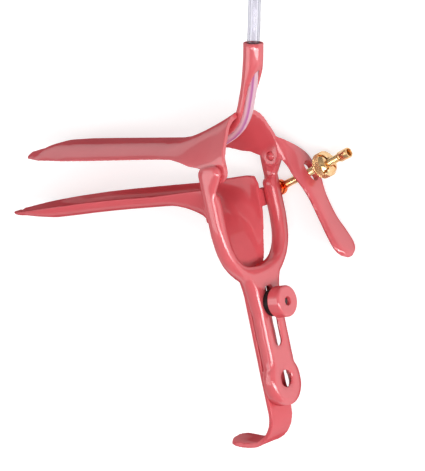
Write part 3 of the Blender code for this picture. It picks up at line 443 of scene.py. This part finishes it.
def join(name, items):
    editor = bmesh.new()
    for item in items:
        bake_down(item)
        editor.from_mesh(item.data)
    mesh = bpy.data.meshes.new(name)
    editor.to_mesh(mesh)
    editor.free()
    finish = items[0].data.materials[0]
    for item in items:
        bpy.data.objects.remove(item)
    joined = bpy.data.objects.new(name, mesh)
    bpy.context.scene.collection.objects.link(joined)
    mesh.shade_smooth()
    mesh.set_sharp_from_angle(angle=SHARP_ANGLE)
    return paint(joined, finish)


def arc(centre, radius, start, end, count):
    angles = [math.radians(start + (end - start) * i / (count - 1)) for i in range(count)]
    return [(centre[0] + radius * math.cos(a), centre[1] + radius * math.sin(a)) for a in angles]


def thread(angle, along, radius):
    phase = (along / THREAD_PITCH + angle / (2 * math.pi)) % 1
    return radius - THREAD_DEPTH * abs(2 * phase - 1) ** 1.4


def add_rod(gold):
    start = ROD_EYE_RADIUS + 1.4 * MM
    end = ROD_LENGTH - CAP_LENGTH - 0.3 * MM
    steps = int((end - start) / THREAD_PITCH * 8)
    ramp_in = [(start - 1.6 * MM, ROD_RADIUS * 0.72), (start - 0.3 * MM, ROD_RADIUS * 0.98)]
    run = [(start + (end - start) * i / steps, ROD_RADIUS) for i in range(steps + 1)]
    tip = [(end, CORE_RADIUS), (ROD_LENGTH - 3.4 * MM, CORE_RADIUS)]

    def threaded(angle, along, radius):
        return thread(angle, along, radius) if start <= along < end and radius > ROD_RADIUS * 0.99 else radius

    shank = lathe("rod_shank", ramp_in + run + tip, 40, gold, shape=threaded)
    outline = arc((0, 0), ROD_EYE_RADIUS, 32, 328, 40)
    outline += [(ROD_EYE_RADIUS + 2.4 * MM, -ROD_RADIUS * 0.8), (ROD_EYE_RADIUS + 2.4 * MM, ROD_RADIUS * 0.8)]
    eye = slab("rod_eye", outline, -ROD_EYE_THICK / 2, ROD_EYE_THICK / 2, gold, 0.35 * MM)
    bake_down(eye)
    hole = slab("rod_eye_hole", arc((0, 0), SCREW_HOLE, 0, 345, 24), -3 * MM, 3 * MM, gold, 0)
    cut(eye, hole)
    seat(join("threaded_rod", [shank, eye]), "adjusting_rod")


def add_cap(gold):
    low, high = ROD_LENGTH - CAP_LENGTH, ROD_LENGTH
    bore = CORE_RADIUS + RUNNING_GAP
    mouth = CAP_RADIUS - 0.7 * MM
    outer = [(low, CAP_RADIUS - 0.45 * MM), (low + 0.13 * MM, CAP_RADIUS - 0.13 * MM),
             (low + 0.45 * MM, CAP_RADIUS)]
    groove = [(low + 0.9 * MM, CAP_RADIUS), (low + 1.05 * MM, CAP_RADIUS - 0.12 * MM),
              (low + 1.2 * MM, CAP_RADIUS)]
    lip = [(high - 0.45 * MM, CAP_RADIUS), (high - 0.13 * MM, CAP_RADIUS - 0.13 * MM),
           (high, CAP_RADIUS - 0.4 * MM)]
    inner = [(high, mouth + 0.1 * MM), (high - 0.15 * MM, mouth), (high - 3 * MM, mouth),
             (high - 3 * MM, bore), (low, bore)]
    cap = lathe("sleeve_cap", outer + groove + lip + inner, 64, gold, hollow=True)
    seat(cap, "rod_end_cap")


def add_nut(gold):
    start, end = NUT_START, NUT_START + NUT_LENGTH
    bore = ROD_RADIUS + RUNNING_GAP
    grip, last = start + 1.1 * MM, end - 1.6 * MM

    def knurled(angle, along, radius):
        if radius < NUT_RADIUS - 0.02 * MM:
            return radius
        twist = along / (1.15 * MM)
        left = abs(((KNURL_TEETH * angle / (2 * math.pi) + twist) % 1) * 2 - 1)
        right = abs(((KNURL_TEETH * angle / (2 * math.pi) - twist) % 1) * 2 - 1)
        fade = min(1, (along - grip) / (0.25 * MM) + 0.3, (last - along) / (0.25 * MM) + 0.3)
        return radius - KNURL_DEPTH * fade * max(left, right) ** 2

    band = [(grip + (last - grip) * i / 24, NUT_RADIUS) for i in range(25)]
    profile = [(start, bore), (start, NUT_RADIUS - 1.5 * MM), (start + 0.15 * MM, NUT_RADIUS - 1.3 * MM),
               (grip - 0.1 * MM, NUT_RADIUS - 0.9 * MM), (grip, NUT_RADIUS - 0.3 * MM)] + band
    profile += [(last + 0.15 * MM, NUT_RADIUS - 0.35 * MM), (end - 1.2 * MM, NUT_RADIUS - 0.5 * MM),
                (end - 0.75 * MM, NUT_RADIUS - 0.8 * MM), (end - 0.4 * MM, NUT_RADIUS - 1.2 * MM),
                (end - 0.12 * MM, NUT_RADIUS - 1.6 * MM), (end, NUT_RADIUS - 2.0 * MM), (end, bore)]
    nut = lathe("knurled_nut", profile, KNURL_TEETH * 8, gold, hollow=True, shape=knurled)
    half = NUT_SLOT / 2
    reach = NUT_RADIUS + 1 * MM
    deep, far = end - NUT_SLOT_DEPTH, end + 1 * MM
    for turn in NUT_SLOT_TURNS:
        c, s = math.cos(math.radians(turn)), math.sin(math.radians(turn))
        corners = [(-reach, -half), (reach, -half), (reach, half), (-reach, half)]
        places = [rod_space(along, a * c - b * s, a * s + b * c) for along in (deep, far) for a, b in corners]
        tool = add_mesh("slot", places, [(3, 2, 1, 0), (4, 5, 6, 7), (0, 1, 5, 4), (1, 2, 6, 5), (2, 3, 7, 6),
                                         (3, 0, 4, 7)])
        face_outwards(tool)
        cut(nut, tool)
    nut.data.set_sharp_from_angle(angle=SHARP_ANGLE)
    seat(nut, "adjusting_nut")


def add_knob(coral):
    """The clamp knob with a rounded rim and a sunk, coated edge round its hole."""
    reach = [(v.co - KNOB_CENTRE).dot(TO_USER) for v in frame["nodes"]["clamp_knob"].data.vertices]
    start, end = min(reach), max(reach)
    back = KNOB_BACK_RIM
    profile = [(start, KNOB_HOLE), (start, KNOB_RADIUS - back)]
    profile += [(start + back - y, KNOB_RADIUS - back + x) for x, y in arc((0, 0), back, 72, 0, 5)]
    profile += [(end - KNOB_RIM + y, KNOB_RADIUS - KNOB_RIM + x) for x, y in arc((0, 0), KNOB_RIM, 0, 90, 10)]
    profile += [(end, KNOB_HOLE + 0.45 * MM), (end - 0.12 * MM, KNOB_HOLE + 0.15 * MM),
                (end - 0.45 * MM, KNOB_HOLE)]
    knob = lathe("turned_knob", profile, 96, coral, hollow=True, place=knob_space)
    seat(knob, "clamp_knob")


# Materials

def new_material(name):
    made = bpy.data.materials.new(name)
    made.use_nodes = True
    return made, made.node_tree.nodes, made.node_tree.links, made.node_tree.nodes["Principled BSDF"]


def noise(nodes, links, scale, detail=3.0):
    place = nodes.new("ShaderNodeTexCoord")
    item = nodes.new("ShaderNodeTexNoise")
    item.inputs["Scale"].default_value = scale
    item.inputs["Detail"].default_value = detail
    item.inputs["Roughness"].default_value = NOISE_ROUGHNESS
    links.new(place.outputs["Object"], item.inputs["Vector"])
    return item.outputs["Fac"]


def ramp(nodes, links, source, low, high):
    item = nodes.new("ShaderNodeValToRGB")
    item.color_ramp.elements[0].position = NOISE_RANGE[0]
    item.color_ramp.elements[0].color = low
    item.color_ramp.elements[1].position = NOISE_RANGE[1]
    item.color_ramp.elements[1].color = high
    links.new(source, item.inputs["Fac"])
    return item.outputs["Color"]


def spread(nodes, links, source, low, high, span=NOISE_RANGE):
    item = nodes.new("ShaderNodeMapRange")
    item.inputs["From Min"].default_value = span[0]
    item.inputs["From Max"].default_value = span[1]
    item.inputs["To Min"].default_value = low
    item.inputs["To Max"].default_value = high
    links.new(source, item.inputs["Value"])
    return item.outputs["Result"]


def bands(nodes, links, source, *stops):
    """Colours by place along the source, as (position, colour) stops."""
    item = nodes.new("ShaderNodeValToRGB")
    elements = item.color_ramp.elements
    for element, (position, colour) in zip(elements, stops):
        element.position = position
        element.color = (*colour, 1)
    for position, colour in stops[2:]:
        elements.new(position).color = (*colour, 1)
    links.new(source, item.inputs["Fac"])
    return item.outputs["Color"]


def facing(nodes):
    """0 where the surface faces the ray, 1 where it is seen edge on."""
    item = nodes.new("ShaderNodeLayerWeight")
    item.inputs["Blend"].default_value = 0.5
    return item.outputs["Facing"]


def lean_to(nodes, links, source, direction):
    """How far the source vector points along a fixed direction, from -1 to 1."""
    item = nodes.new("ShaderNodeVectorMath")
    item.operation = "DOT_PRODUCT"
    item.inputs[1].default_value = direction
    links.new(source, item.inputs[0])
    return item.outputs["Value"]


def bump(nodes, links, shader, *layers):
    """Layers of (height socket, depth in metres) on the shader's normal."""
    previous = None
    for height, depth in layers:
        item = nodes.new("ShaderNodeBump")
        item.inputs["Strength"].default_value = 1.0
        item.inputs["Distance"].default_value = depth
        links.new(height, item.inputs["Height"])
        if previous:
            links.new(previous, item.inputs["Normal"])
        previous = item.outputs["Normal"]
    links.new(previous, shader.inputs["Normal"])


def coral_material(name, gloss):
    """Thick nylon dip coat with a faint orange peel; its gloss fades where it is seen edge on."""
    made, nodes, links, shader = new_material(name)
    patch = noise(nodes, links, 60.0, 4.0)
    colour = ramp(nodes, links, patch, (0.660, 0.088, 0.105, 1), (0.710, 0.101, 0.119, 1))
    links.new(colour, shader.inputs["Base Color"])
    links.new(spread(nodes, links, noise(nodes, links, 150.0), 0.28, 0.33), shader.inputs["Roughness"])
    turned = facing(nodes)
    specular = spread(nodes, links, turned, 0.45 * gloss, 0.0, GLOSS_FADE)
    links.new(specular, shader.inputs["Specular IOR Level"])
    links.new(spread(nodes, links, turned, gloss, 0.04, GLOSS_FADE), shader.inputs["Coat Weight"])
    shader.inputs["Coat Roughness"].default_value = 0.06
    shader.inputs["Coat IOR"].default_value = 1.6
    peel = (noise(nodes, links, 380.0, 1.0), 0.003 * MM)
    waves = (noise(nodes, links, 60.0, 1.0), 0.02 * MM)
    bump(nodes, links, shader, peel, waves)
    return made


def gold_material():
    """Polished gold plate over turned metal, with fine wear, and a painted reflection of the red coat that makes
    it redder round the rod's eye.
    """
    made, nodes, links, shader = new_material("gold_plate")
    stain = noise(nodes, links, 300.0, 5.0)
    colour = ramp(nodes, links, stain, (0.72, 0.42, 0.17, 1), (0.95, 0.69, 0.40, 1))
    # Painted reflection: the colour turns red near the rod's eye, standing for the coral coat mirrored in the gold
    # there
    place = nodes.new("ShaderNodeTexCoord")
    reach = nodes.new("ShaderNodeVectorMath")
    reach.operation = "DISTANCE"
    reach.inputs[1].default_value = ROD_START
    links.new(place.outputs["Object"], reach.inputs[0])
    painted_coat_reflection = nodes.new("ShaderNodeMix")
    painted_coat_reflection.data_type = "RGBA"
    painted_coat_reflection.inputs[7].default_value = (0.90, 0.17, 0.04, 1)
    links.new(spread(nodes, links, reach.outputs["Value"], 1.0, 0.0, (3.5 * MM, 8.0 * MM)), painted_coat_reflection.inputs[0])
    links.new(colour, painted_coat_reflection.inputs[6])
    links.new(painted_coat_reflection.outputs[2], shader.inputs["Base Color"])
    shader.inputs["Metallic"].default_value = 1.0
    links.new(spread(nodes, links, noise(nodes, links, 900.0), 0.16, 0.30), shader.inputs["Roughness"])
    bump(nodes, links, shader, (noise(nodes, links, 1500.0, 2.0), 0.01 * MM))
    return made


def black_material():
    made, nodes, links, shader = new_material("black_washer_plastic")
    # Near-black: partly the washer's own black, partly painted shadow standing for the shade under the knob's rim
    colour = ramp(nodes, links, noise(nodes, links, 400.0), (0.006, 0.006, 0.007, 1), (0.02, 0.019, 0.02, 1))
    links.new(colour, shader.inputs["Base Color"])
    links.new(spread(nodes, links, noise(nodes, links, 700.0), 0.3, 0.5), shader.inputs["Roughness"])
    shader.inputs["Specular IOR Level"].default_value = 0.2
    bump(nodes, links, shader, (noise(nodes, links, 1800.0, 2.0), 0.02 * MM))
    return made


def steel_material():
    made, nodes, links, shader = new_material("turned_stud_steel")
    # Painted shade: the stud's steel is made near-black to stand for the shade in the knob's recess where its end
    # shows
    colour = ramp(nodes, links, noise(nodes, links, 500.0), (0.05, 0.04, 0.04, 1), (0.14, 0.12, 0.12, 1))
    links.new(colour, shader.inputs["Base Color"])
    shader.inputs["Metallic"].default_value = 1.0
    links.new(spread(nodes, links, noise(nodes, links, 900.0), 0.25, 0.45), shader.inputs["Roughness"])
    bump(nodes, links, shader, (noise(nodes, links, 2000.0, 2.0), 0.02 * MM))
    return made


def clear_material():
    """Soft clear tubing: a pale lavender core, with a painted bright band along its walls and painted dark lines
    at its outer edges.
    """
    made, nodes, links, shader = new_material("clear_soft_tubing")
    # The core is the tubing's own pale tint; the bright band is a painted highlight and the dark outer lines are
    # painted shade, set by how edge-on the surface is seen
    tone = bands(nodes, links, facing(nodes), (0.0, (0.79, 0.78, 0.84)), (1.0, (0.38, 0.38, 0.46)),
                 (0.12, (0.80, 0.79, 0.85)), (0.19, (0.97, 0.97, 0.99)), (0.28, (0.94, 0.94, 0.97)),
                 (0.38, (0.56, 0.56, 0.64)))
    links.new(tone, shader.inputs["Base Color"])
    links.new(spread(nodes, links, noise(nodes, links, 90.0, 3.0), 0.03, 0.08), shader.inputs["Roughness"])
    shader.inputs["Transmission Weight"].default_value = 0.95
    shader.inputs["IOR"].default_value = 1.06
    shader.inputs["Coat Weight"].default_value = 0.25
    bump(nodes, links, shader, (noise(nodes, links, 60.0, 0.0), 0.01 * MM))
    return made


def tubing_with_painted_streaks():
    """The tubing inside the channel, with painted streaks along it: a painted reflection of the coat behind it and
    paler bands as painted highlights.
    """
    made, nodes, links, shader = new_material("clear_tubing_over_coat")
    place = nodes.new("ShaderNodeTexCoord")
    # Painted reflection and painted highlights: the streaks are set by which way the surface turns towards a fixed
    # direction across the view
    lean = lean_to(nodes, links, place.outputs["Normal"], to_world(VIEW_RIGHT))
    side = spread(nodes, links, lean, 0.0, 1.0, (-1.0, 1.0))
    tone = bands(nodes, links, side, (0.0, (0.66, 0.16, 0.22)), (1.0, (0.80, 0.42, 0.48)),
                 (0.22, (0.78, 0.36, 0.42)), (0.38, (0.84, 0.52, 0.58)), (0.50, (0.70, 0.30, 0.48)),
                 (0.62, (0.50, 0.11, 0.36)), (0.76, (0.84, 0.50, 0.60)))
    links.new(tone, shader.inputs["Base Color"])
    links.new(spread(nodes, links, noise(nodes, links, 90.0), 0.03, 0.08), shader.inputs["Roughness"])
    shader.inputs["Transmission Weight"].default_value = 0.15
    shader.inputs["IOR"].default_value = 1.4
    shader.inputs["Coat Weight"].default_value = 1.0
    bump(nodes, links, shader, (noise(nodes, links, 140.0, 1.0), 0.01 * MM))
    return made


def blue_material():
    made, nodes, links, shader = new_material("pale_blue_moulding")
    colour = ramp(nodes, links, noise(nodes, links, 250.0), (0.28, 0.47, 0.68, 1), (0.38, 0.57, 0.76, 1))
    links.new(colour, shader.inputs["Base Color"])
    links.new(spread(nodes, links, noise(nodes, links, 500.0), 0.35, 0.5), shader.inputs["Roughness"])
    bump(nodes, links, shader, (noise(nodes, links, 1600.0, 2.0), 0.03 * MM))
    return made


# Studio

def add_light(name, aim, right, up, back, size, power):
    """A soft box placed in the camera's own directions, in metres from the aim point."""
    axes = view_axes()
    place = aim + axes[0] * right + axes[1] * up + axes[2] * back
    data = bpy.data.lights.new(name, "AREA")
    data.shape = "RECTANGLE"
    data.size, data.size_y = size
    data.energy = power
    item = bpy.data.objects.new(name, data)
    item.matrix_world = Matrix.Translation(place) @ (place - aim).to_track_quat("Z", "Y").to_matrix().to_4x4()
    bpy.context.scene.collection.objects.link(item)


def grey(tone):
    return (tone, tone, tone)


def seen_rays(nodes, links):
    """1 for camera, glossy and transmission rays, 0 for the rest."""
    path = nodes.new("ShaderNodeLightPath")
    total = path.outputs["Is Camera Ray"]
    for name in ("Is Glossy Ray", "Is Transmission Ray"):
        either = nodes.new("ShaderNodeMath")
        either.operation = "MAXIMUM"
        links.new(total, either.inputs[0])
        links.new(path.outputs[name], either.inputs[1])
        total = either.outputs["Value"]
    return total


def add_floor():
    """White floor: what it lacks to pure white is added for the eye alone, so its shadow stays."""
    bpy.ops.mesh.primitive_plane_add(size=6, location=(0, 0, 0))
    floor = bpy.context.object
    floor.name = "floor"
    made, nodes, links, shader = new_material("pale_floor")
    shader.inputs["Base Color"].default_value = (*grey(FLOOR_TONE), 1)
    shader.inputs["Roughness"].default_value = 0.9
    shader.inputs["Specular IOR Level"].default_value = 0.0
    shader.inputs["Emission Color"].default_value = (1, 1, 1, 1)
    gain = nodes.new("ShaderNodeMath")
    gain.operation = "MULTIPLY"
    gain.inputs[1].default_value = FLOOR_GLOW
    links.new(seen_rays(nodes, links), gain.inputs[0])
    links.new(gain.outputs["Value"], shader.inputs["Emission Strength"])
    floor.data.materials.append(made)


def add_world():
    """Soft room light in bands up the picture, dim at its middle and brightest just above, for the gold."""
    world = bpy.data.worlds.new("studio")
    world.use_nodes = True
    nodes, links = world.node_tree.nodes, world.node_tree.links
    background = nodes["Background"]
    place = nodes.new("ShaderNodeTexCoord")
    lean = lean_to(nodes, links, place.outputs["Generated"], view_axes()[1])
    height = spread(nodes, links, lean, 0.0, 1.0, (-1.0, 1.0))
    tones = bands(nodes, links, height, (0.0, grey(0.4)), (1.0, grey(0.24)), (0.36, grey(0.45)),
                  (0.46, grey(0.12)), (0.54, grey(0.12)), (0.62, grey(0.8)), (0.74, grey(0.48)))
    links.new(tones, background.inputs["Strength"])
    background.inputs["Color"].default_value = (1, 1, 1, 1)
    bpy.context.scene.world = world


def add_studio(aim):
    add_world()
    add_floor()
    add_light("key_strip", aim, 0.0, -0.40, 1.65, (0.36, 2.0), 10.5)
    add_light("user_panel", aim, 0.80, -0.35, 0.95, (0.36, 1.7), 12.0)
    add_light("left_panel", aim, -1.1, -0.1, 0.45, (0.7, 1.1), 4.3)
    bpy.context.scene.view_settings.view_transform = "Standard"


def main():
    aim = add_camera()
    coral = coral_material("coral_nylon_coat", 1.0)
    satin = coral_material("satin_nylon_coat", 0.45)
    gold = gold_material()
    clear = clear_material()
    blue = blue_material()
    add_hose(clear)
    for node, voxel, passes, round_passes in COATED:
        finish = satin if node == "lower_blade" else coral
        rounded_copy(node, finish, voxel, passes, round_passes)
    add_knob(coral)
    add_rod(gold)
    add_cap(gold)
    add_nut(gold)
    for node in ("nut_washer", "rod_pivot_screw", "rod_pivot_washer"):
        paint(frame["nodes"][node], gold)
    paint(frame["nodes"]["knob_washer"], black_material())
    paint(frame["nodes"]["clamp_stud"], steel_material())
    node, voxel, passes, round_passes = CHANNEL_TUBE
    rounded_copy(node, tubing_with_painted_streaks(), voxel, passes, round_passes)
    for node in ("coil_tie", "hose_connector"):
        paint(frame["nodes"][node], blue)
    add_studio(aim)


main()
